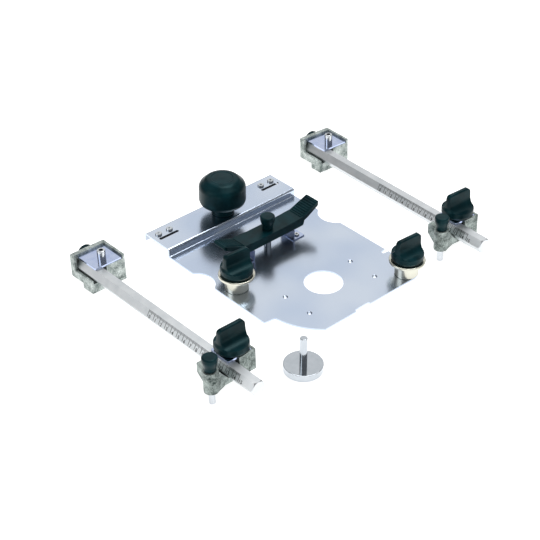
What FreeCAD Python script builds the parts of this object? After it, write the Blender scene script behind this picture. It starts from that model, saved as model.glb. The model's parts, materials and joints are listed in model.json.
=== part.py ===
import FreeCAD, Part
import math
import os

# Guide set for drilling rows of holes with a router: a sheet-steel guide plate, two side stops on graduated
# hexagonal rods and a centring mandrel. Millimetres. +Z up, origin on the axis of the cutter opening at the
# plate's underside, +X along the raised rear strip, +Y towards that strip.

Vec = FreeCAD.Vector
UP = Vec(0, 0, 1)

# Guide plate
SHEET = 2.0
HALF_WIDTH = 99.0
FRONT_Y = -63.0
FOOT_BEND_Y = 155.5
STRIP_TOP = 12.0
STRIP_BACK_Y = 202.0
CUTTER_R = 22.5
SCALLOP_R = 21.5
SCALLOP_X = 109.5
SCALLOP_Y = 93.0
FRONT_ARC_R = 85.5
PLATE_HOLE_R = 1.65
PLATE_HOLES = [(-51.0, 8.4), (51.0, 8.4), (-51.0, -31.0), (51.0, -31.0)]
SLOT_Y = 179.7
SLOT_WIDTH = 4.0
SLOT_X = (65.8, 94.0)
JAW_SCREW_Y = 188.5
JAW_SCREW_X = (72.5, 88.5)
JAW_TRAVEL = 0.8

# Rear hand knob
REAR_KNOB = Vec(0, 176, STRIP_TOP)

# Clamp collars and their winged knobs
COLLARS = {"left": Vec(-79.5, 58, SHEET), "right": Vec(82.5, -50.5, SHEET)}
COLLAR_NECK_R = 13.7
COLLAR_FLANGE_R = 21.0
COLLAR_HEIGHT = 20.0
COLLAR_FLANGE = 3.2
CLAMP_SCREW_R = 4.0
WING_R = 18.7
WING_HEIGHT = 29.2
WING_BLADE = 6.6
RUN = 0.1
GAP = 0.3

# Rocker lever and index pin
LEVER_Y = 95.0
LEVER_WIDTH = 23.0
LEVER_BOTTOM = 17.0
LEVER_TOP = 29.0
LEVER_MIDDLE = 27.5
LEVER_HALF = 74.0
LEG_X = 31.2
LEG_TOP = LEVER_BOTTOM - GAP
INDEX_Y = 95.0
INDEX_R = 3.0
BUSH_R = 4.3

# Side stops, in their own frame: u across, v along the rod towards the head, w up
HEX_AF = 16.0
ROD_AXIS = 20.0
ROD_REAR = 15.5
STOP_PIN_R = 3.9
STOP_TIP_R = 3.5
STOP_PIN_U = -25.2
STOP_TILT = 2.5
HEAD_BACK = 25.0
HEAD_KNOB_W = 22.0
SLIDER_KNOB_U = 14.0
SLIDER_KNOB_V = 14.1
STOPS = {
    "left": {"at": Vec(-194.15, 174.0, 0), "yaw": -0.89, "pin_v": -245.25, "rod_front": -289.0},
    "right": {"at": Vec(175.16, 190.4, 0), "yaw": -4.08, "pin_v": -250.0, "rod_front": -294.6},
}

# Centring mandrel
MANDREL = Vec(-119.3, -93.6, 0)
MANDREL_R = 21.3
MANDREL_THICK = 8.0
SHANK_R = 4.0
SPIGOT_R = 3.2
SHANK_TOP = 41.5


def save(name, shape):
    shape.exportStep("parts/" + name + ".step")


def box(x0, x1, y0, y1, z0, z1):
    return Part.makeBox(x1 - x0, y1 - y0, z1 - z0, Vec(x0, y0, z0))


def cyl(r, at, height, axis=UP):
    return Part.makeCylinder(r, height, at, axis)


def rounded(points):
    """Closed wire through (vector, radius) corners, each corner rounded to its radius."""
    edges = []
    last = None
    first = None
    count = len(points)
    for i, (corner, radius) in enumerate(points):
        before = (points[i - 1][0] - corner).normalize()
        after = (points[(i + 1) % count][0] - corner).normalize()
        if radius > 0:
            half = math.acos(max(-1.0, min(1.0, before.dot(after)))) / 2
            reach = radius / math.tan(half)
            start = corner + before * reach
            end = corner + after * reach
            centre_way = (before + after).normalize()
            middle = corner + centre_way * (radius / math.sin(half) - radius)
        else:
            start = corner
            end = corner
        if last is None:
            first = start
        elif (start - last).Length > 1e-6:
            edges.append(Part.LineSegment(last, start).toShape())
        if radius > 0:
            edges.append(Part.Arc(start, middle, end).toShape())
        last = end
    if (first - last).Length > 1e-6:
        edges.append(Part.LineSegment(last, first).toShape())
    return Part.Wire(edges)


def prism_x(points, x0, x1):
    """Bar along X with a section of (y, z, radius) corners."""
    wire = rounded([(Vec(x0, y, z), r) for y, z, r in points])
    return Part.Face(wire).extrude(Vec(x1 - x0, 0, 0))


def prism_y(points, y0, y1):
    """Bar along Y with a section of (x, z, radius) corners."""
    wire = rounded([(Vec(x, y0, z), r) for x, z, r in points])
    return Part.Face(wire).extrude(Vec(0, y1 - y0, 0))


def prism_z(points, z0, z1):
    """Upright block with an outline of (x, y, radius) corners."""
    wire = rounded([(Vec(x, y, z0), r) for x, y, r in points])
    return Part.Face(wire).extrude(Vec(0, 0, z1 - z0))


def turned(points, at=Vec(0, 0, 0)):
    """Body turned about the upright axis through at, from (r, z, radius) corners."""
    wire = rounded([(Vec(r, 0, z), c) for r, z, c in points])
    solid = Part.Face(wire).revolve(Vec(0, 0, 0), UP, 360)
    solid.translate(at)
    return solid


def soften(solid, radius, keep):
    """Rounds the edges that keep(edge) picks."""
    edges = [e for e in solid.Edges if keep(e)]
    return solid.makeFillet(radius, edges)


def upright_at(x, y, reach=0.6):
    """Picks upright edges near a point of the plan."""
    def pick(edge):
        a = edge.Vertexes[0].Point
        b = edge.Vertexes[-1].Point
        upright = abs(a.x - b.x) < 1e-4 and abs(a.y - b.y) < 1e-4 and abs(a.z - b.z) > 1e-4
        return upright and math.hypot(a.x - x, a.y - y) < reach
    return pick


def screw(at, head_r, head_h, shank_r, length, socket_r=0.0):
    """Round-headed screw: the head stands on at, the shank goes down from it."""
    body = cyl(head_r, at, head_h)
    body = body.makeChamfer(head_h * 0.22, [body.Edges[0]])
    if socket_r > 0:
        hexagon = [Vec(socket_r * math.cos(math.radians(60 * i)), socket_r * math.sin(math.radians(60 * i)), 0)
                   for i in range(7)]
        recess = Part.Face(Part.makePolygon(hexagon)).extrude(Vec(0, 0, head_h))
        recess.translate(at + Vec(0, 0, head_h * 0.4))
        body = body.cut(recess)
    return body.fuse(cyl(shank_r, at - Vec(0, 0, length), length))


# ---------------------------------------------------------------- guide plate

def plate_outline():
    """Outline of the flat part: straight sides, a large front arc on the left, a round corner on the right."""
    step_x = -math.sqrt(FRONT_ARC_R ** 2 - 12.0 ** 2)
    arc_x = -math.sqrt(FRONT_ARC_R ** 2 - FRONT_Y ** 2)
    corner_r = HALF_WIDTH - 82.0
    corner_y = FRONT_Y + corner_r
    slant = math.radians(215)
    arc_mid = Vec(FRONT_ARC_R * math.cos(slant), FRONT_ARC_R * math.sin(slant), 0)
    round_mid = Vec(82 + corner_r * math.sqrt(0.5), corner_y - corner_r * math.sqrt(0.5), 0)
    points = [Vec(82, FRONT_Y, 0), Vec(arc_x, FRONT_Y, 0), Vec(step_x, -12, 0), Vec(-HALF_WIDTH, -10.5, 0),
              Vec(-HALF_WIDTH, FOOT_BEND_Y, 0), Vec(HALF_WIDTH, FOOT_BEND_Y, 0), Vec(HALF_WIDTH, corner_y, 0)]
    edges = [
        Part.LineSegment(points[0], points[1]).toShape(),
        Part.Arc(points[1], arc_mid, points[2]).toShape(),
        Part.LineSegment(points[2], points[3]).toShape(),
        Part.LineSegment(points[3], points[4]).toShape(),
        Part.LineSegment(points[4], points[5]).toShape(),
        Part.LineSegment(points[5], points[6]).toShape(),
        Part.Arc(points[6], round_mid, points[0]).toShape(),
    ]
    return Part.Wire(edges)


def make_guide_plate():
    flat = Part.Face(plate_outline()).extrude(Vec(0, 0, SHEET))
    flat = soften(flat, 1.5, upright_at(-HALF_WIDTH, -10.5))
    flat = flat.cut(cyl(SCALLOP_R, Vec(-SCALLOP_X, SCALLOP_Y, -1), SHEET + 2))
    flat = flat.cut(cyl(SCALLOP_R, Vec(SCALLOP_X, SCALLOP_Y, -1), SHEET + 2))
    reach = math.sqrt(SCALLOP_R ** 2 - (SCALLOP_X - HALF_WIDTH) ** 2)
    for side in (-1, 1):
        for end in (-1, 1):
            flat = soften(flat, 4.0, upright_at(side * HALF_WIDTH, SCALLOP_Y + end * reach))
    recess = prism_z([(-12, FRONT_Y - 4, 0), (13, FRONT_Y - 4, 0), (11, FRONT_Y + 3, 2.2), (-10, FRONT_Y + 3, 2.2)],
                     -1, SHEET + 1)
    notch = prism_z([(HALF_WIDTH + 3, -7.0, 0), (HALF_WIDTH + 3, -1.0, 0), (91, -2.0, 1.6), (91, -6.0, 1.6)],
                    -1, SHEET + 1)
    flat = flat.cut(recess).cut(notch)

    # Z-bend and raised strip, one bent section with its thickness kept
    rise = STRIP_TOP - SHEET
    strip = prism_x([
        (FOOT_BEND_Y - 6, 0, 0), (FOOT_BEND_Y + SHEET, 0, 3.0), (FOOT_BEND_Y + SHEET, rise, 1.2),
        (STRIP_BACK_Y - SHEET, rise, 0.8), (STRIP_BACK_Y - SHEET, 2.2, 0), (STRIP_BACK_Y, 2.2, 0),
        (STRIP_BACK_Y, STRIP_TOP, 2.8), (FOOT_BEND_Y, STRIP_TOP, 3.2), (FOOT_BEND_Y, SHEET, 1.0),
        (FOOT_BEND_Y - 6, SHEET, 0)], -HALF_WIDTH, HALF_WIDTH)
    plate = flat.fuse(strip).removeSplitter()

    plate = plate.cut(cyl(CUTTER_R, Vec(0, 0, -1), SHEET + 2))
    for x, y in PLATE_HOLES:
        plate = plate.cut(cyl(PLATE_HOLE_R, Vec(x, y, -1), SHEET + 2))
        plate = plate.cut(Part.makeCone(PLATE_HOLE_R, 3.0, 1.0, Vec(x, y, SHEET - 1.0), UP))
    for side in (-1, 1):
        ends = sorted((side * SLOT_X[0], side * SLOT_X[1]))
        half = SLOT_WIDTH / 2
        slot = prism_z([(ends[0], SLOT_Y - half, half - 0.01), (ends[1], SLOT_Y - half, half - 0.01),
                        (ends[1], SLOT_Y + half, half - 0.01), (ends[0], SLOT_Y + half, half - 0.01)],
                       rise - 1, STRIP_TOP + 1)
        plate = plate.cut(slot)
        for x in JAW_SCREW_X:
            half = 2.0
            hole = prism_z([(side * x - half, JAW_SCREW_Y - half - 1, half - 0.01),
                            (side * x + half, JAW_SCREW_Y - half - 1, half - 0.01),
                            (side * x + half, JAW_SCREW_Y + half + 1, half - 0.01),
                            (side * x - half, JAW_SCREW_Y + half + 1, half - 0.01)], rise - 1, STRIP_TOP + 1)
            plate = plate.cut(hole)
        plate = plate.cut(cyl(1.6, Vec(side * 40.5, 88.5, -1), SHEET + 2))
    plate = plate.cut(cyl(3.1, Vec(REAR_KNOB.x, REAR_KNOB.y, rise - 1), SHEET + 2))
    for at in COLLARS.values():
        plate = plate.cut(cyl(CLAMP_SCREW_R + GAP, at - Vec(0, 0, SHEET + 1), SHEET + 2))
    plate = plate.cut(cyl(3.4, Vec(0, INDEX_Y, -1), SHEET + 2))
    return plate


def make_rear_knob():
    knob = turned([(0, 0, 0), (13.2, 0, 0), (13.8, 1.2, 0), (13.8, 13.2, 3.0), (27.2, 15.6, 1.2), (28.4, 19.0, 3.0),
                   (28.2, 39.0, 8.5), (19.5, 47.0, 8.0), (13.6, 48.0, 0.8), (12.6, 47.6, 0.6), (0, 48.2, 0)],
                  REAR_KNOB)
    return knob.cut(cyl(3.0, REAR_KNOB - Vec(0, 0, 1), 14))


def make_rear_knob_screw():
    """Low round head under the strip, shank up into the knob."""
    under = REAR_KNOB - Vec(0, 0, SHEET)
    head = cyl(5.2, under - Vec(0, 0, 2.2), 2.2)
    slot = box(-6, 6, REAR_KNOB.y - 0.6, REAR_KNOB.y + 0.6, under.z - 3, under.z - 1.2)
    return head.cut(slot).fuse(cyl(3.0, under, SHEET + 12.5))


def make_jaw(side):
    """Plastic guide jaw under the strip: a block with a long springy finger that bears on the rail."""
    ends = sorted((side * (SLOT_X[0] - 3), side * (SLOT_X[1] - 1.5)))
    top = STRIP_TOP - SHEET - GAP
    body = prism_z([(ends[0], 176.6, 1.5), (ends[1], 176.6, 1.5), (ends[1], STRIP_BACK_Y - SHEET - 2.0, 1.5),
                    (ends[0], STRIP_BACK_Y - SHEET - 2.0, 1.5)], 2.6, top)
    rib_ends = sorted((side * (SLOT_X[0] + 2.2), side * (SLOT_X[1] - 2.5)))
    rib = box(rib_ends[0], rib_ends[1], SLOT_Y - 0.8, SLOT_Y + 0.8, top - 0.5, top + 0.5)
    for x in JAW_SCREW_X:
        body = body.cut(cyl(1.6, Vec(side * x, JAW_SCREW_Y, 2.0), 12))
    relief = box(ends[0] + 4, ends[1] - 4, 181.6, 183.4, -1, top + 1)
    return body.cut(relief).fuse(rib)


def make_jaw_screws(side):
    screws = [screw(Vec(side * x, JAW_SCREW_Y, STRIP_TOP + 0.25), 4.0, 1.9, 1.55, 8.0, 1.6) for x in JAW_SCREW_X]
    return Part.makeCompound(screws)


# ---------------------------------------------------------------- collars and winged knobs

def make_collar(at):
    neck_top = COLLAR_HEIGHT - COLLAR_FLANGE
    collar = turned([(0, 0, 0), (COLLAR_NECK_R - 0.8, 0, 0), (COLLAR_NECK_R - 0.8, 1.1, 0), (COLLAR_NECK_R, 1.1, 0),
                     (COLLAR_NECK_R, neck_top - 2.6, 0.8), (COLLAR_FLANGE_R - 3.2, neck_top, 1.0),
                     (COLLAR_FLANGE_R, neck_top, 0.8), (COLLAR_FLANGE_R, COLLAR_HEIGHT, 1.0), (0, COLLAR_HEIGHT, 0)],
                    at)
    return collar.cut(cyl(CLAMP_SCREW_R + RUN, at - Vec(0, 0, 1), COLLAR_HEIGHT + 2))


def winged_knob(bore_r):
    """Round skirt with a thumb blade along X: a turned body, hollowed on both sides down to the blade."""
    knob = turned([(0, 0, 0), (WING_R - 1.4, 0, 0.6), (WING_R, 3.0, 2.0), (WING_R, 8.8, 2.4), (17.0, 12.0, 2.0),
                   (16.4, WING_HEIGHT, 4.8), (0, WING_HEIGHT + 0.6, 0)])
    foot = WING_BLADE / 2 + 0.6
    tip = WING_BLADE / 2 - 0.4
    low = 8.8
    top = WING_HEIGHT + 0.5
    blade = prism_x([(-30, -1, 0), (30, -1, 0), (30, low, 0), (foot, low, 10.0), (tip, top, 2.2),
                     (-tip, top, 2.2), (-foot, low, 10.0), (-30, low, 0)], -30, 30)
    return knob.common(blade).cut(cyl(bore_r, Vec(0, 0, -1), 13))


def make_clamp_screw(height):
    """Screw under a winged knob: z = 0 is the knob's underside."""
    return cyl(CLAMP_SCREW_R, Vec(0, 0, -height), height + 12)


# ---------------------------------------------------------------- rocker lever and index pin

def make_lever():
    """Long lever with a deep middle and thin upturned ends, ribbed for the fingers."""
    half = LEVER_HALF
    section = [(-47, LEVER_BOTTOM, 2.5), (47, LEVER_BOTTOM, 2.5), (48.5, 23.0, 1.0), (54, 25.0, 6.0),
               (half, 35.5, 1.5), (half - 1.5, 39.5, 1.5), (46, LEVER_TOP - 0.3, 12.0), (20, LEVER_MIDDLE, 12.0),
               (-20, LEVER_MIDDLE, 12.0), (-46, LEVER_TOP - 0.3, 12.0), (-half + 1.5, 39.5, 1.5),
               (-half, 35.5, 1.5), (-54, 25.0, 6.0), (-48.5, 23.0, 1.0)]
    y0 = LEVER_Y - LEVER_WIDTH / 2
    y1 = LEVER_Y + LEVER_WIDTH / 2
    lever = prism_y(section, y0, y1)
    plan = prism_z([(-half, y0 + 1, 4.5), (-40, y0, 10), (40, y0, 10), (half, y0 + 1, 4.5),
                    (half, y1 - 1, 4.5), (40, y1, 10), (-40, y1, 10), (-half, y1 - 1, 4.5)], 0, 60)
    lever = lever.common(plan)
    for side in (-1, 1):
        for i in range(9):
            out = 44.6 + 3.05 * i
            run = max(0.0, (out - 46.0) / (half - 1.5 - 46.0))
            z = LEVER_TOP - 0.3 + run * (39.5 - LEVER_TOP + 0.3)
            rib = cyl(0.95, Vec(side * out, y0 + 2.4, z - 0.15), LEVER_WIDTH - 4.8, Vec(0, 1, 0))
            lever = lever.fuse(rib)
    hole = prism_z([(-6.2, INDEX_Y - 4.0, 3.9), (6.2, INDEX_Y - 4.0, 3.9), (6.2, INDEX_Y + 4.0, 3.9),
                    (-6.2, INDEX_Y + 4.0, 3.9)], 0, 60)
    return lever.cut(hole)


def make_brackets():
    """Two angle brackets: the upright leg carries the lever on its top edge, the foot is screwed down."""
    y0 = LEVER_Y - 12.5
    y1 = LEVER_Y + 10.0
    brackets = []
    for side in (-1, 1):
        points = [(side * (LEG_X - 0.75), SHEET, 2.0), (side * 47.5, SHEET, 0), (side * 47.5, SHEET + 1.5, 0),
                  (side * (LEG_X + 0.75), SHEET + 1.5, 0.6), (side * (LEG_X + 0.75), LEG_TOP, 0.3),
                  (side * (LEG_X - 0.75), LEG_TOP, 0.3)]
        angle = prism_y(points, y0, y1)
        angle = angle.cut(cyl(1.6, Vec(side * 40.5, 88.5, 0), 6))
        brackets.append(angle)
    return Part.makeCompound(brackets)


def make_bracket_screws():
    screws = [screw(Vec(side * 40.5, 88.5, SHEET + 1.5), 3.3, 1.8, 1.6, SHEET + 1.3, 1.5) for side in (-1, 1)]
    return Part.makeCompound(screws)


def make_index_bush():
    at = Vec(0, INDEX_Y, SHEET)
    bush = turned([(0, 0, 0), (BUSH_R, 0, 0), (BUSH_R, 12.0, 0.7), (0, 12.0, 0)], at)
    return bush.cut(cyl(INDEX_R + RUN, at - Vec(0, 0, 1), 16))


def make_index_pin():
    pin = cyl(INDEX_R, Vec(0, INDEX_Y, 0.4), 36.0)
    pin = pin.makeChamfer(0.8, [pin.Edges[2]])
    return pin


def pull_knob(height, top_r, foot_r, bore_r, bore):
    """Small flared pull knob: straight foot, cone, thick rounded head."""
    knob = turned([(0, 0, 0), (foot_r, 0, 0.4), (foot_r + 0.1, height * 0.28, 2.0), (top_r - 0.5, height * 0.58, 2.0),
                   (top_r, height * 0.72, 1.2), (top_r, height, 1.6), (0, height + 0.3, 0)])
    return knob.cut(cyl(bore_r, Vec(0, 0, -1), bore + 1))


# ---------------------------------------------------------------- side stops

def make_rod(front):
    """Hexagonal bar with a flat on top, its ends lightly chamfered."""
    corner = HEX_AF / math.sqrt(3)
    hexagon = [Vec(corner * math.cos(math.radians(60 * i)), front, ROD_AXIS + corner * math.sin(math.radians(60 * i)))
               for i in range(7)]
    bar = Part.Face(Part.makePolygon(hexagon)).extrude(Vec(0, ROD_REAR - front, 0))
    length = ROD_REAR - front
    axis = Vec(0, 1, 0)
    rounder = Part.makeCone(corner - 1.4, corner + 1.0, 2.4, Vec(0, front, ROD_AXIS), axis)
    rounder = rounder.fuse(cyl(corner + 1.0, Vec(0, front + 2.4, ROD_AXIS), length, axis))
    return bar.common(rounder)


def make_head_casting():
    """Open-topped casting round the rod's rear end: deep foot in front, block on the right, wall at the back."""
    body = prism_z([(-12, -17, 0.8), (34.6, -17, 0.8), (34.6, HEAD_BACK, 1.2), (-13.4, HEAD_BACK, 4.5)], 0, 32.8)
    body = body.cut(box(-20, 40, 0, 32, -1, 7))
    channel = prism_y([(-9.8, 12, 0), (4.62, 12, 0), (9.4, ROD_AXIS, 0), (9.4, 40, 0), (-9.8, 40, 0)], -20, 19)
    pocket = box(-9.8, 31.6, -20, 19, 28, 40)
    low_left = box(-20, -9.7, -20, 14, 16.5, 40)
    body = body.cut(channel).cut(pocket).cut(low_left)
    body = body.cut(box(20, 29, -18, -16.2, 3.5, 7.5))
    body = body.cut(cyl(2.2, Vec(12.6, -4, 13), 20))
    body = body.cut(cyl(2.5 + RUN, Vec(12.6, 8, HEAD_KNOB_W), 20, Vec(0, 1, 0)))
    return body


def make_head_plate():
    plate = prism_z([(-5, -16.4, 2.0), (31.3, -16.4, 1.5), (31.3, 18.7, 1.5), (-5, 18.7, 1.5)], 28, 30.2)
    return plate.cut(cyl(2.2, Vec(12.6, -4, 27), 5))


def make_head_stud():
    """Hollow sleeve on the clamp plate with a threaded end down into the casting."""
    sleeve = turned([(0, 30.2, 0), (4.9, 30.2, 0), (4.9, 42, 0.7), (0, 42, 0)], Vec(12.6, -4, 0))
    sleeve = sleeve.cut(cyl(2.5, Vec(12.6, -4, 34), 12))
    return sleeve.fuse(cyl(2.2, Vec(12.6, -4, 14), 17))


def make_head_knob():
    """Round knob on the back of the head, turned about the rod's direction, with its screw."""
    knob = turned([(0, 0, 0), (6.0, 0, 0.4), (6.0, 1.2, 0.4), (10.4, 1.8, 0.8), (10.4, 7.0, 2.0), (0, 7.6, 0)])
    for i in range(12):
        turn = math.radians(30 * i)
        knob = knob.cut(cyl(1.2, Vec(11.0 * math.cos(turn), 11.0 * math.sin(turn), 0.8), 12))
    knob = knob.fuse(cyl(2.5, Vec(0, 0, -14), 15))
    knob.rotate(Vec(0, 0, 0), Vec(1, 0, 0), -90)
    knob.translate(Vec(12.6, HEAD_BACK + GAP, HEAD_KNOB_W))
    return knob


def make_slider_casting(v):
    """Casting that rides on the rod: pin boss on the left, V-shaped cradle, block with a pocket on the right."""
    front = v - 3.5
    back = v + 30
    body = prism_z([(-14, front, 0.5), (31, front, 1.0), (31, back, 1.5), (-14, back, 3.0)], 5.8, 30.6)
    for i in range(4):
        body = body.cut(cyl(0.6, Vec(18.4 + 3.0 * i, front - 0.15, 0), 26))
    boss = Part.makeCone(8.1, 8.25, 25.4, Vec(STOP_PIN_U, v, 5.8), UP)
    web = prism_z([(STOP_PIN_U - 0.5, v - 8.2, 0), (-10, front, 0), (-10, v + 6, 0), (STOP_PIN_U, v + 6, 0)],
                  5.8, 26)
    lug = prism_x([(v, 5.8, 0), (v + 7, 5.8, 3), (v + 20.5, 18, 3), (v + 20.5, 30.6, 1.5), (v, 30.6, 0)], -26.5, -10)
    cradle = prism_y([(-20, 33, 0), (-17.5, 27, 0), (-9.4, 17, 0), (-4.8, 11.9, 0), (4.7, 11.9, 0),
                      (9.35, ROD_AXIS, 0), (9.35, 33, 0)], front - 20, back + 10)
    clear = box(-17.5, 9.4, front - 20, back + 10, 27, 40)
    pocket = box(-17.5, 28, front + 2.2, back - 2.2, 28.3, 40)
    body = body.fuse(web).fuse(lug).cut(cradle).cut(clear).cut(pocket).fuse(boss)
    body = body.cut(cyl(STOP_PIN_R + RUN, Vec(STOP_PIN_U, v, 0), 40))
    return body.cut(cyl(CLAMP_SCREW_R + GAP, Vec(SLIDER_KNOB_U, v + SLIDER_KNOB_V, 22.6), 20))


def make_slider_plate(v):
    plate = prism_z([(-3, v - 1, 1.5), (27.7, v - 1, 1.5), (27.7, v + 27.4, 1.5), (-3, v + 27.4, 1.5)], 28.3, 30.4)
    return plate.cut(cyl(CLAMP_SCREW_R + RUN, Vec(SLIDER_KNOB_U, v + SLIDER_KNOB_V, 27), 5))


def make_stop_pin(v):
    return turned([(0, -10.6, 0), (STOP_TIP_R - 0.8, -10.6, 0), (STOP_TIP_R, -9.8, 0), (STOP_TIP_R, 5.6, 0),
                   (STOP_PIN_R, 6.0, 0), (STOP_PIN_R, 43.4, 0), (0, 43.4, 0)], Vec(STOP_PIN_U, v, 0))


def stop_place(side):
    """Where a side stop lies: it leans on the rear edge of its head's foot and on the tip of its stop pin."""
    stop = STOPS[side]
    turn = FreeCAD.Rotation(UP, stop["yaw"]).multiply(FreeCAD.Rotation(Vec(1, 0, 0), -STOP_TILT))
    return FreeCAD.Placement(stop["at"], turn)


def save_stop(side):
    place = stop_place(side)
    v = STOPS[side]["pin_v"]
    knob = winged_knob(CLAMP_SCREW_R)
    knob.translate(Vec(SLIDER_KNOB_U, v + SLIDER_KNOB_V, 30.9))
    clamp_screw = make_clamp_screw(7.3)
    clamp_screw.translate(Vec(SLIDER_KNOB_U, v + SLIDER_KNOB_V, 30.9))
    pin_knob = pull_knob(16.8, 8.35, 6.3, STOP_PIN_R, 11.8)
    pin_knob.translate(Vec(STOP_PIN_U, v, 31.6))
    shapes = {
        "rod": make_rod(STOPS[side]["rod_front"]),
        "head_casting": make_head_casting(),
        "head_plate": make_head_plate(),
        "head_stud": make_head_stud(),
        "head_knob": make_head_knob(),
        "slider_casting": make_slider_casting(v),
        "slider_plate": make_slider_plate(v),
        "slider_knob": knob,
        "slider_screw": clamp_screw,
        "stop_pin": make_stop_pin(v),
        "stop_pin_knob": pin_knob,
    }
    for name, shape in shapes.items():
        shape.Placement = place.multiply(shape.Placement)
        save(name + "_" + side, shape)


# ---------------------------------------------------------------- mandrel

def make_mandrel_disc():
    disc = turned([(0, 0, 0), (MANDREL_R, 0, 0.5), (MANDREL_R, MANDREL_THICK, 0.6), (0, MANDREL_THICK, 0)], MANDREL)
    return disc.cut(cyl(SPIGOT_R, MANDREL - Vec(0, 0, 1), MANDREL_THICK + 2))


def make_mandrel_pin():
    return turned([(0, 0.2, 0), (SPIGOT_R, 0.2, 0), (SPIGOT_R, MANDREL_THICK, 0), (SHANK_R, MANDREL_THICK, 0),
                   (SHANK_R, SHANK_TOP, 0.8), (0, SHANK_TOP, 0)], MANDREL)


os.makedirs("parts", exist_ok=True)
save("guide_plate", make_guide_plate())
save("rear_knob", make_rear_knob())
save("rear_knob_screw", make_rear_knob_screw())
for label, sign in (("left", -1), ("right", 1)):
    save("guide_jaw_" + label, make_jaw(sign))
    save("jaw_screws_" + label, make_jaw_screws(sign))
    seat = COLLARS[label]
    save("clamp_collar_" + label, make_collar(seat))
    wing = winged_knob(CLAMP_SCREW_R)
    wing.rotate(Vec(0, 0, 0), UP, -4)
    wing.translate(seat + Vec(0, 0, COLLAR_HEIGHT + GAP))
    save("clamp_knob_" + label, wing)
    stem = make_clamp_screw(COLLAR_HEIGHT + GAP + SHEET - 0.5)
    stem.translate(seat + Vec(0, 0, COLLAR_HEIGHT + GAP))
    save("clamp_screw_" + label, stem)
    save_stop(label)
save("rocker_lever", make_lever())
save("rocker_brackets", make_brackets())
save("bracket_screws", make_bracket_screws())
save("index_bush", make_index_bush())
save("index_pin", make_index_pin())
grip = pull_knob(17.8, 8.7, 6.4, INDEX_R, 8.6)
grip.translate(Vec(0, INDEX_Y, LEVER_MIDDLE + GAP))
save("index_knob", grip)
save("mandrel_disc", make_mandrel_disc())
save("mandrel_pin", make_mandrel_pin())
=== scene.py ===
import bpy
import json
import math
from mathutils import Matrix, Vector


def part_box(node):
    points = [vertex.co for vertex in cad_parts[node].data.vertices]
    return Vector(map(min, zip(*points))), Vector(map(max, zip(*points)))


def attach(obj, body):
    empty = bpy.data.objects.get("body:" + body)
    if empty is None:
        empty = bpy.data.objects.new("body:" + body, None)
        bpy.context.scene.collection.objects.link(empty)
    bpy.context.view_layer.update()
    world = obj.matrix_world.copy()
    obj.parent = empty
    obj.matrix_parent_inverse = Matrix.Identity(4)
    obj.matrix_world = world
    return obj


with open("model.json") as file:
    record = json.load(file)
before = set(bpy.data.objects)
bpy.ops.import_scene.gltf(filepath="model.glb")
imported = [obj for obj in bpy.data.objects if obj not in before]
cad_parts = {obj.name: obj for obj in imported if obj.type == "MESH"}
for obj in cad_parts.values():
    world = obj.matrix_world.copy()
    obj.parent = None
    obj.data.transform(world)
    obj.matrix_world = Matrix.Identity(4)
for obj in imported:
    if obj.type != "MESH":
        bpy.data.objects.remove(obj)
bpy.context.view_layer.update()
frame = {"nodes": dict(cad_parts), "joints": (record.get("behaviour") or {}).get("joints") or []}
nodes = frame["nodes"]
joints = {joint["name"]: joint for joint in frame["joints"]}
MM = 0.001

# ---------------------------------------------------------------------------------------------------------
# Guide plate: sheet steel, blanked, bent up into a raised rear strip and bright zinc plated. The rolling
# grain of the sheet runs along the strip, and the plating gives a soft, slightly blue mirror.

def colour(code):
    """sRGB hex to the linear colour a shader takes."""
    parts = [int(code[i:i + 2], 16) / 255 for i in (1, 3, 5)]
    return tuple(c / 12.92 if c <= 0.04045 else ((c + 0.055) / 1.055) ** 2.4 for c in parts) + (1.0,)


def add_node(material, kind, settings=None, links=None):
    """One node with its settings (attributes or input values) and its incoming links."""
    node = material.node_tree.nodes.new(kind)
    for name, value in (settings or {}).items():
        if isinstance(name, int) or name in node.inputs:
            node.inputs[name].default_value = value
        else:
            setattr(node, name, value)
    for name, source in (links or {}).items():
        material.node_tree.links.new(source, node.inputs[name])
    return node


def new_material(name):
    """Empty material with its shader and output in place."""
    material = bpy.data.materials.new(name)
    material.use_nodes = True
    return material, material.node_tree.nodes["Principled BSDF"]


def two_tone(material, source, dark, dark_at, light, light_at):
    """Colour that runs from dark to light between two levels of a pattern."""
    ramp = add_node(material, "ShaderNodeValToRGB", {}, {"Fac": source})
    for element, code, level in zip(ramp.color_ramp.elements, (dark, light), (dark_at, light_at)):
        element.position = level
        element.color = colour(code)
    return ramp.outputs["Color"]


def feed(material, sockets):
    """Links outputs into the named inputs of the material's shader."""
    shader = material.node_tree.nodes["Principled BSDF"]
    for name, source in sockets.items():
        material.node_tree.links.new(source, shader.inputs[name])


def finish_with(material, *names):
    """Gives the named CAD nodes this one material."""
    for name in names:
        mesh = nodes[name].data
        mesh.materials.clear()
        mesh.materials.append(material)


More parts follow.
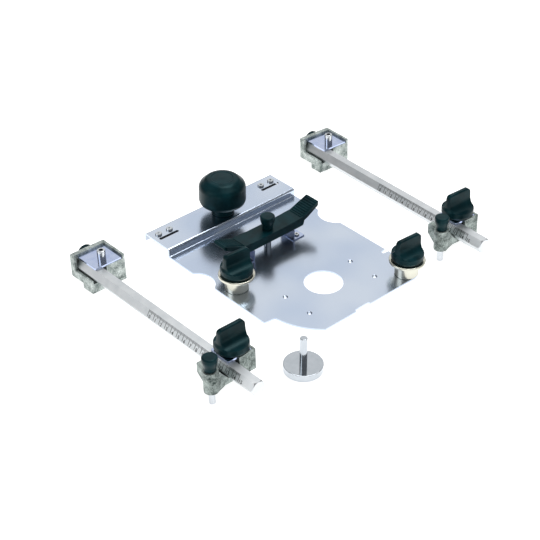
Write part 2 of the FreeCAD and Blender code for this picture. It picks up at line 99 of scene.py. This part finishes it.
# Zinc-plated sheet: blue-grey mirror with a faint grain along X and slow clouds in the plating
sheet, shader = new_material("bright zinc-plated sheet steel")
shader.inputs["Metallic"].default_value = 1.0
place = add_node(sheet, "ShaderNodeTexCoord").outputs["Object"]
rolled = add_node(sheet, "ShaderNodeMapping", {"Scale": (0.04, 1.0, 1.0)}, {"Vector": place})
grain = add_node(sheet, "ShaderNodeTexNoise", {"Scale": 1 / (0.9 * MM), "Detail": 3.0},
                 {"Vector": rolled.outputs["Vector"]})
cloud = add_node(sheet, "ShaderNodeTexNoise", {"Scale": 1 / (80 * MM), "Detail": 1.0}, {"Vector": place})
tint = two_tone(sheet, cloud.outputs["Fac"], "#c3d0e4", 0.36, "#d2dcea", 0.64)
gloss = add_node(sheet, "ShaderNodeMapRange", {"To Min": 0.15, "To Max": 0.27},
                 {"Value": grain.outputs["Fac"]})
ripple = add_node(sheet, "ShaderNodeBump", {"Strength": 0.10, "Distance": 0.03 * MM},
                  {"Height": grain.outputs["Fac"]})
feed(sheet, {"Base Color": tint, "Roughness": gloss.outputs["Result"], "Normal": ripple.outputs["Normal"]})
finish_with(sheet, "guide_plate")

# ---------------------------------------------------------------------------------------------------------
# Hand knobs, winged knobs, lever and pull knobs: glass-filled nylon, injection moulded black in an eroded
# mould, so the surface is finely pebbled with a broad soft sheen. All are screwed or pressed on their pins.

nylon, shader = new_material("moulded black glass-filled nylon")
place = add_node(nylon, "ShaderNodeTexCoord").outputs["Object"]
pebble = add_node(nylon, "ShaderNodeTexNoise", {"Scale": 1 / (0.5 * MM), "Detail": 2.0}, {"Vector": place})
flow = add_node(nylon, "ShaderNodeTexNoise", {"Scale": 1 / (16 * MM), "Detail": 3.0}, {"Vector": place})
tint = two_tone(nylon, flow.outputs["Fac"], "#031a1f", 0.35, "#082b31", 0.68)
gloss = add_node(nylon, "ShaderNodeMapRange", {"To Min": 0.28, "To Max": 0.4},
                 {"Value": flow.outputs["Fac"]})
skin = add_node(nylon, "ShaderNodeBump", {"Strength": 0.16, "Distance": 0.06 * MM},
                {"Height": pebble.outputs["Fac"]})
feed(nylon, {"Base Color": tint, "Roughness": gloss.outputs["Result"], "Normal": skin.outputs["Normal"]})
# The resin takes a cool tint from the black pigment, and the pebbled skin dulls its sheen
shader.inputs["IOR"].default_value = 1.53
shader.inputs["Specular IOR Level"].default_value = 0.18
shader.inputs["Specular Tint"].default_value = colour("#a9dfe4")
finish_with(nylon, "rear_knob", "clamp_knob_left", "clamp_knob_right", "rocker_lever", "index_knob",
            "head_knob_left", "head_knob_right", "slider_knob_left", "slider_knob_right",
            "stop_pin_knob_left", "stop_pin_knob_right")

# ---------------------------------------------------------------------------------------------------------
# Guide jaws under the strip: black acetal blocks that glide on the rail, with a waxy, even surface. Each is
# held by two screws from above.

acetal, shader = new_material("machined black acetal")
place = add_node(acetal, "ShaderNodeTexCoord").outputs["Object"]
mill = add_node(acetal, "ShaderNodeTexWave", {"Scale": 1 / (2.4 * MM), "Distortion": 0.6},
                {"Vector": place})
tint = add_node(acetal, "ShaderNodeMixRGB", {"Color1": colour("#141618"), "Color2": colour("#1e2124")},
                {"Fac": mill.outputs["Fac"]})
lines = add_node(acetal, "ShaderNodeBump", {"Strength": 0.1, "Distance": 0.03 * MM},
                 {"Height": mill.outputs["Fac"]})
feed(acetal, {"Base Color": tint.outputs["Color"], "Normal": lines.outputs["Normal"]})
shader.inputs["Roughness"].default_value = 0.4
shader.inputs["IOR"].default_value = 1.48
finish_with(acetal, "guide_jaw_left", "guide_jaw_right")

# ---------------------------------------------------------------------------------------------------------
# Clamp collars: steel, turned and nickel plated. The plating is warm and bright, with the fine rings that
# the lathe left round each collar's own axis.

def turned_metal(name, centre, light, dark, ring_mm, rough_low, rough_high):
    """Turned metal with tool rings about an upright axis through centre."""
    material, shader = new_material(name)
    shader.inputs["Metallic"].default_value = 1.0
    place = add_node(material, "ShaderNodeTexCoord").outputs["Object"]
    own = add_node(material, "ShaderNodeMapping", {"Location": (-centre[0], -centre[1], 0)},
                   {"Vector": place})
    rings = add_node(material, "ShaderNodeTexWave",
                     {"wave_type": "RINGS", "rings_direction": "Z", "Scale": 1 / (ring_mm * MM * 20),
                      "Distortion": 0.5, "Detail": 2.0}, {"Vector": own.outputs["Vector"]})
    cloud = add_node(material, "ShaderNodeTexNoise", {"Scale": 1 / (9 * MM), "Detail": 2.0},
                     {"Vector": place})
    tint = add_node(material, "ShaderNodeMixRGB", {"Color1": colour(light), "Color2": colour(dark)},
                    {"Fac": cloud.outputs["Fac"]})
    gloss = add_node(material, "ShaderNodeMapRange", {"To Min": rough_low, "To Max": rough_high},
                     {"Value": rings.outputs["Fac"]})
    lines = add_node(material, "ShaderNodeBump", {"Strength": 0.12, "Distance": 0.02 * MM},
                     {"Height": rings.outputs["Fac"]})
    feed(material, {"Base Color": tint.outputs["Color"], "Roughness": gloss.outputs["Result"],
                    "Normal": lines.outputs["Normal"]})
    return material


def middle_of(name):
    """Centre of a CAD node's box at rest."""
    low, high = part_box(name)
    return (Vector(low) + Vector(high)) / 2


for side in ("left", "right"):
    collar = "clamp_collar_" + side
    finish_with(turned_metal("turned nickel-plated steel, " + side + " collar", middle_of(collar),
                             "#dddcd0", "#cfcec0", 0.5, 0.2, 0.32), collar)

# ---------------------------------------------------------------------------------------------------------
# Mandrel, pins, bush, studs and screws: ground and polished steel, a nearly clear mirror with faint rings.
# The mandrel's shank is pressed into its disc; the rest run or are screwed in their holes.

finish_with(turned_metal("turned polished steel, mandrel", middle_of("mandrel_disc"),
                         "#c8ced4", "#b5bcc3", 0.4, 0.07, 0.14), "mandrel_disc", "mandrel_pin")
finish_with(turned_metal("ground polished steel, index pin", middle_of("index_bush"),
                         "#cdd3d8", "#bcc3ca", 0.3, 0.1, 0.18), "index_bush", "index_pin")

ground, shader = new_material("ground steel")
shader.inputs["Metallic"].default_value = 1.0
place = add_node(ground, "ShaderNodeTexCoord").outputs["Object"]
polish = add_node(ground, "ShaderNodeTexNoise", {"Scale": 1 / (1.5 * MM), "Detail": 3.0}, {"Vector": place})
tint = add_node(ground, "ShaderNodeMixRGB", {"Color1": colour("#d8dce0"), "Color2": colour("#c2c8ce")},
                {"Fac": polish.outputs["Fac"]})
gloss = add_node(ground, "ShaderNodeMapRange", {"To Min": 0.1, "To Max": 0.22},
                 {"Value": polish.outputs["Fac"]})
feed(ground, {"Base Color": tint.outputs["Color"], "Roughness": gloss.outputs["Result"]})
finish_with(ground, "rear_knob_screw", "bracket_screws", "jaw_screws_left", "jaw_screws_right",
            "clamp_screw_left", "clamp_screw_right", "head_stud_left", "head_stud_right",
            "slider_screw_left", "slider_screw_right", "stop_pin_left", "stop_pin_right")

# ---------------------------------------------------------------------------------------------------------
# Lever brackets and clamp plates of the side stops: thin steel pressings, bright zinc plated with a blue
# passivation that shows as a cool tint in the reflection.

blue_zinc, shader = new_material("blue-passivated zinc-plated steel")
shader.inputs["Metallic"].default_value = 1.0
place = add_node(blue_zinc, "ShaderNodeTexCoord").outputs["Object"]
bath = add_node(blue_zinc, "ShaderNodeTexNoise", {"Scale": 1 / (8 * MM), "Detail": 3.0}, {"Vector": place})
tint = add_node(blue_zinc, "ShaderNodeMixRGB", {"Color1": colour("#a4b3dc"), "Color2": colour("#cdd7ea")},
                {"Fac": bath.outputs["Fac"]})
gloss = add_node(blue_zinc, "ShaderNodeMapRange", {"To Min": 0.1, "To Max": 0.2},
                 {"Value": bath.outputs["Fac"]})
feed(blue_zinc, {"Base Color": tint.outputs["Color"], "Roughness": gloss.outputs["Result"]})
finish_with(blue_zinc, "rocker_brackets", "head_plate_left", "head_plate_right",
            "slider_plate_left", "slider_plate_right")

# ---------------------------------------------------------------------------------------------------------
# Heads and sliders of the side stops: aluminium die castings, blasted. Close up the skin is grey-green and
# grainy with a dull, broken shine; painted shade darkens the grit's hollows. The sliders get darker colours.

def blasted_casting(name, dark, light):
    """Blasted die casting between two tints, pitted by the grit, with painted shade in the pits."""
    material, shader = new_material(name)
    shader.inputs["Metallic"].default_value = 0.75
    place = add_node(material, "ShaderNodeTexCoord").outputs["Object"]
    grit = add_node(material, "ShaderNodeTexNoise",
                    {"Scale": 1 / (1.5 * MM), "Detail": 5.0, "Roughness": 0.65},
                    {"Vector": place})
    patch = add_node(material, "ShaderNodeTexNoise", {"Scale": 1 / (9 * MM), "Detail": 3.0},
                     {"Vector": place})
    # Colour from grit and patches: the casting's own mottle, plus painted shade darker where the bump has
    # pits
    share = add_node(material, "ShaderNodeMath", {"operation": "MULTIPLY", 1: 0.45},
                     {0: patch.outputs["Fac"]})
    mottle_and_pit_shade = add_node(material, "ShaderNodeMath", {"operation": "MULTIPLY_ADD", 1: 0.55},
                     {0: grit.outputs["Fac"], 2: share.outputs["Value"]})
    tint = two_tone(material, mottle_and_pit_shade.outputs["Value"], dark, 0.38, light, 0.62)
    rough = add_node(material, "ShaderNodeMapRange", {"To Min": 0.42, "To Max": 0.62},
                     {"Value": grit.outputs["Fac"]})
    pits = add_node(material, "ShaderNodeBump", {"Strength": 0.6, "Distance": 0.25 * MM},
                    {"Height": grit.outputs["Fac"]})
    feed(material, {"Base Color": tint, "Roughness": rough.outputs["Result"],
                    "Normal": pits.outputs["Normal"]})
    return material


finish_with(blasted_casting("blasted aluminium die casting, heads", "#63706d", "#d6dedb"),
            "head_casting_left", "head_casting_right")
# The sliders take the same casting colours, darker.
finish_with(blasted_casting("blasted aluminium die casting, sliders", "#3c4845", "#bac5c1"),
            "slider_casting_left", "slider_casting_right")

# ---------------------------------------------------------------------------------------------------------
# Hexagonal rods: drawn aluminium bar, clear anodised. Die lines run along the bar, so each rod's material
# is turned to lie along its own rod.

def rod_frame(side):
    """Matrix from a side stop's own axes (across, along towards the head, up) on the rod's middle."""
    along = Vector(joints["slider_travel_" + side]["axis"]).normalized()
    up = Vector(joints["slider_clamp_turn_" + side]["axis"]).normalized()
    across = along.cross(up)
    turn = Matrix((across, along, up)).transposed().to_4x4()
    return Matrix.Translation(middle_of("rod_" + side)) @ turn


for side in ("left", "right"):
    bar, shader = new_material("drawn anodised aluminium bar, " + side)
    shader.inputs["Metallic"].default_value = 1.0
    place = add_node(bar, "ShaderNodeTexCoord").outputs["Object"]
    at = rod_frame(side)
    own = add_node(bar, "ShaderNodeMapping", {"vector_type": "TEXTURE", "Location": at.to_translation(),
                                              "Rotation": at.to_euler()}, {"Vector": place})
    stretch = add_node(bar, "ShaderNodeMapping", {"Scale": (1.0, 0.02, 1.0)},
                       {"Vector": own.outputs["Vector"]})
    lines = add_node(bar, "ShaderNodeTexNoise", {"Scale": 1 / (0.8 * MM), "Detail": 4.0},
                     {"Vector": stretch.outputs["Vector"]})
    blotch = add_node(bar, "ShaderNodeTexNoise", {"Scale": 1 / (12 * MM), "Detail": 3.0}, {"Vector": place})
    tint = add_node(bar, "ShaderNodeMixRGB", {"Color1": colour("#c9cfd3"), "Color2": colour("#ebeef0")},
                    {"Fac": blotch.outputs["Fac"]})
    gloss = add_node(bar, "ShaderNodeMapRange", {"To Min": 0.28, "To Max": 0.42},
                     {"Value": lines.outputs["Fac"]})
    relief = add_node(bar, "ShaderNodeBump", {"Strength": 0.18, "Distance": 0.04 * MM},
                      {"Height": lines.outputs["Fac"]})
    feed(bar, {"Base Color": tint.outputs["Color"], "Roughness": gloss.outputs["Result"],
               "Normal": relief.outputs["Normal"]})
    finish_with(bar, "rod_" + side)

# ---------------------------------------------------------------------------------------------------------
# Scale on each rod: millimetre marks and centimetre figures engraved in the upper left face and filled with
# black enamel that stands a hair proud. They lie in the face and ride with the stop.

HEX_FLATS = 16 * MM
SCALE_LENGTH = 172 * MM
SCALE_MM = 150
ENAMEL = 0.06 * MM
FACE_SLOPE = math.radians(30)
MARK_TOP = 4.4
FIGURE_AFTER = 3.4
FIGURE_BASE = -4.2
FIGURE_SIZE = 5.4 * MM
FIGURE_STROKE = 0.12 * MM

enamel, shader = new_material("black enamel fill")
place = add_node(enamel, "ShaderNodeTexCoord").outputs["Object"]
wear = add_node(enamel, "ShaderNodeTexNoise", {"Scale": 1 / (2 * MM), "Detail": 2.0}, {"Vector": place})
tint = add_node(enamel, "ShaderNodeMixRGB", {"Color1": colour("#101618"), "Color2": colour("#2c3436")},
                {"Fac": wear.outputs["Fac"]})
feed(enamel, {"Base Color": tint.outputs["Color"]})
shader.inputs["Roughness"].default_value = 0.5
shader.inputs["IOR"].default_value = 1.5


def clear_selection():
    """Nothing selected and nothing active."""
    bpy.ops.object.select_all(action="DESELECT")
    bpy.context.view_layer.objects.active = None


def join(parts, name):
    """One object from several, with its place in its mesh."""
    clear_selection()
    for part in parts:
        part.select_set(True)
    bpy.context.view_layer.objects.active = parts[0]
    bpy.ops.object.transform_apply(location=True, rotation=True, scale=True)
    bpy.ops.object.join()
    whole = bpy.context.view_layer.objects.active
    whole.name = name
    whole.data.name = name
    return whole


def scale_mark(length, width):
    """One filled groove, in mm: a square stretched to the groove and drawn in as it rises to the crown."""
    clear_selection()
    bpy.ops.mesh.primitive_plane_add(size=1 * MM)
    mark = bpy.context.active_object
    bpy.ops.object.mode_set(mode="EDIT")
    bpy.ops.mesh.select_all(action="SELECT")
    bpy.ops.transform.resize(value=(width, length, 1))
    bpy.ops.mesh.extrude_region_move(TRANSFORM_OT_translate={"value": (0, 0, ENAMEL)})
    bpy.ops.transform.resize(value=(0.8, 0.97, 1))
    bpy.ops.mesh.select_all(action="SELECT")
    bpy.ops.mesh.normals_make_consistent(inside=False)
    bpy.ops.object.mode_set(mode="OBJECT")
    return mark


def scale_figure(text):
    """One filled figure, from a plain sans-serif text given the enamel's thickness."""
    clear_selection()
    bpy.ops.object.text_add()
    figure = bpy.context.active_object
    figure.data.body = text
    figure.data.align_x = "CENTER"
    figure.data.size = FIGURE_SIZE
    figure.data.offset = FIGURE_STROKE
    figure.data.extrude = ENAMEL
    bpy.ops.object.convert(target="MESH")
    return bpy.context.active_object


def copy_to(pattern, x, y):
    """A copy with a mesh of its own, moved in the face."""
    copy = pattern.copy()
    copy.data = pattern.data.copy()
    copy.location = (x, y, 0)
    bpy.context.scene.collection.objects.link(copy)
    return copy


def face_frame(side):
    """The upper left face of a rod: x along the rod towards the slider, y up the face, z out of it."""
    at = rod_frame(side)
    out = at.to_3x3() @ Vector((-math.cos(FACE_SLOPE), 0, math.sin(FACE_SLOPE)))
    along = -(at.to_3x3() @ Vector((0, 1, 0)))
    turn = Matrix((along, out.cross(along), out)).transposed().to_4x4()
    return Matrix.Translation(at.to_translation() + out * HEX_FLATS / 2) @ turn


patterns = {"long": (scale_mark(8.2, 0.7), 8.2), "middle": (scale_mark(4.2, 0.6), 4.2),
            "short": (scale_mark(2.6, 0.42), 2.6)}
figures = [scale_figure(str(n)) for n in range(SCALE_MM // 10 + 1)]
for side in ("left", "right"):
    place = face_frame(side)
    middle = place.to_translation()
    along = place.to_3x3() @ Vector((1, 0, 0))
    reach = max(along.dot(v.co - middle) for v in nodes["rod_" + side].data.vertices)
    begin = reach - SCALE_LENGTH
    parts = []
    for i in range(SCALE_MM + 1):
        kind = "long" if i % 10 == 0 else "middle" if i % 5 == 0 else "short"
        pattern, length = patterns[kind]
        parts.append(copy_to(pattern, begin + i * MM, (MARK_TOP - length / 2) * MM))
        if i % 10 == 0:
            parts.append(copy_to(figures[i // 10], begin + (i + FIGURE_AFTER) * MM, FIGURE_BASE * MM))
    marks = join(parts, "scale_marks_" + side)
    marks.data.transform(place)
    marks.data.materials.clear()
    marks.data.materials.append(enamel)
    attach(marks, "stop_" + side)
for pattern in [entry[0] for entry in patterns.values()] + figures:
    bpy.data.objects.remove(pattern)

# ---------------------------------------------------------------------------------------------------------
# Studio: white floor, broad soft lights from above, behind and the left, and a camera that looks down on the
# front left corner of the plate.

FLOOR_SIZE = 12
FLOOR_DROP = 0.2 * MM

clear_selection()
bpy.ops.mesh.primitive_plane_add(size=FLOOR_SIZE, location=(0, 0, -FLOOR_DROP))
floor = bpy.context.active_object
floor.name = "studio_floor"
white, shader = new_material("white studio floor")
place = add_node(white, "ShaderNodeTexCoord").outputs["Object"]
paper = add_node(white, "ShaderNodeTexNoise", {"Scale": 30.0}, {"Vector": place})
tint = add_node(white, "ShaderNodeMixRGB", {"Color1": colour("#bcbcbc"), "Color2": colour("#c4c4c4")},
                {"Fac": paper.outputs["Fac"]})
feed(white, {"Base Color": tint.outputs["Color"]})
shader.inputs["Roughness"].default_value = 0.9
shader.inputs["Emission Color"].default_value = colour("#ffffff")
shader.inputs["Emission Strength"].default_value = 0.85
floor.data.materials.append(white)


def softbox(name, place, target, size, power):
    """Square area light aimed at a point."""
    lamp = bpy.data.lights.new(name, "AREA")
    lamp.shape = "SQUARE"
    lamp.size = size
    lamp.energy = power
    holder = bpy.data.objects.new(name, lamp)
    bpy.context.scene.collection.objects.link(holder)
    holder.location = place
    holder.rotation_euler = (Vector(target) - Vector(place)).to_track_quat("-Z", "Y").to_euler()


softbox("overhead", (0.3, -0.1, 1.7), (0, 0.05, 0), 1.2, 26)
softbox("behind", (1.35, 1.5, 1.75), (0, 0.05, 0), 2.2, 10.5)
softbox("left", (-1.7, 0.6, 0.9), (0, 0.05, 0.05), 1.3, 9)

world = bpy.data.worlds.new("studio")
bpy.context.scene.world = world
world.use_nodes = True
sky = world.node_tree.nodes["Background"]
sky.inputs["Color"].default_value = colour("#ffffff")
sky.inputs["Strength"].default_value = 0.22

LENS = 85.33
CAMERA_PLACE = (-0.82497, -0.82683, 0.86287)
CAMERA_DOWN = 35.89
CAMERA_TURN = -41.96

camera_data = bpy.data.cameras.new("camera")
camera_data.lens = LENS
camera_data.sensor_width = 36
camera = bpy.data.objects.new("camera", camera_data)
bpy.context.scene.collection.objects.link(camera)
camera.location = CAMERA_PLACE
camera.rotation_euler = (math.radians(90 - CAMERA_DOWN), 0, math.radians(CAMERA_TURN))
bpy.context.scene.camera = camera
bpy.context.scene.view_settings.view_transform = "Standard"
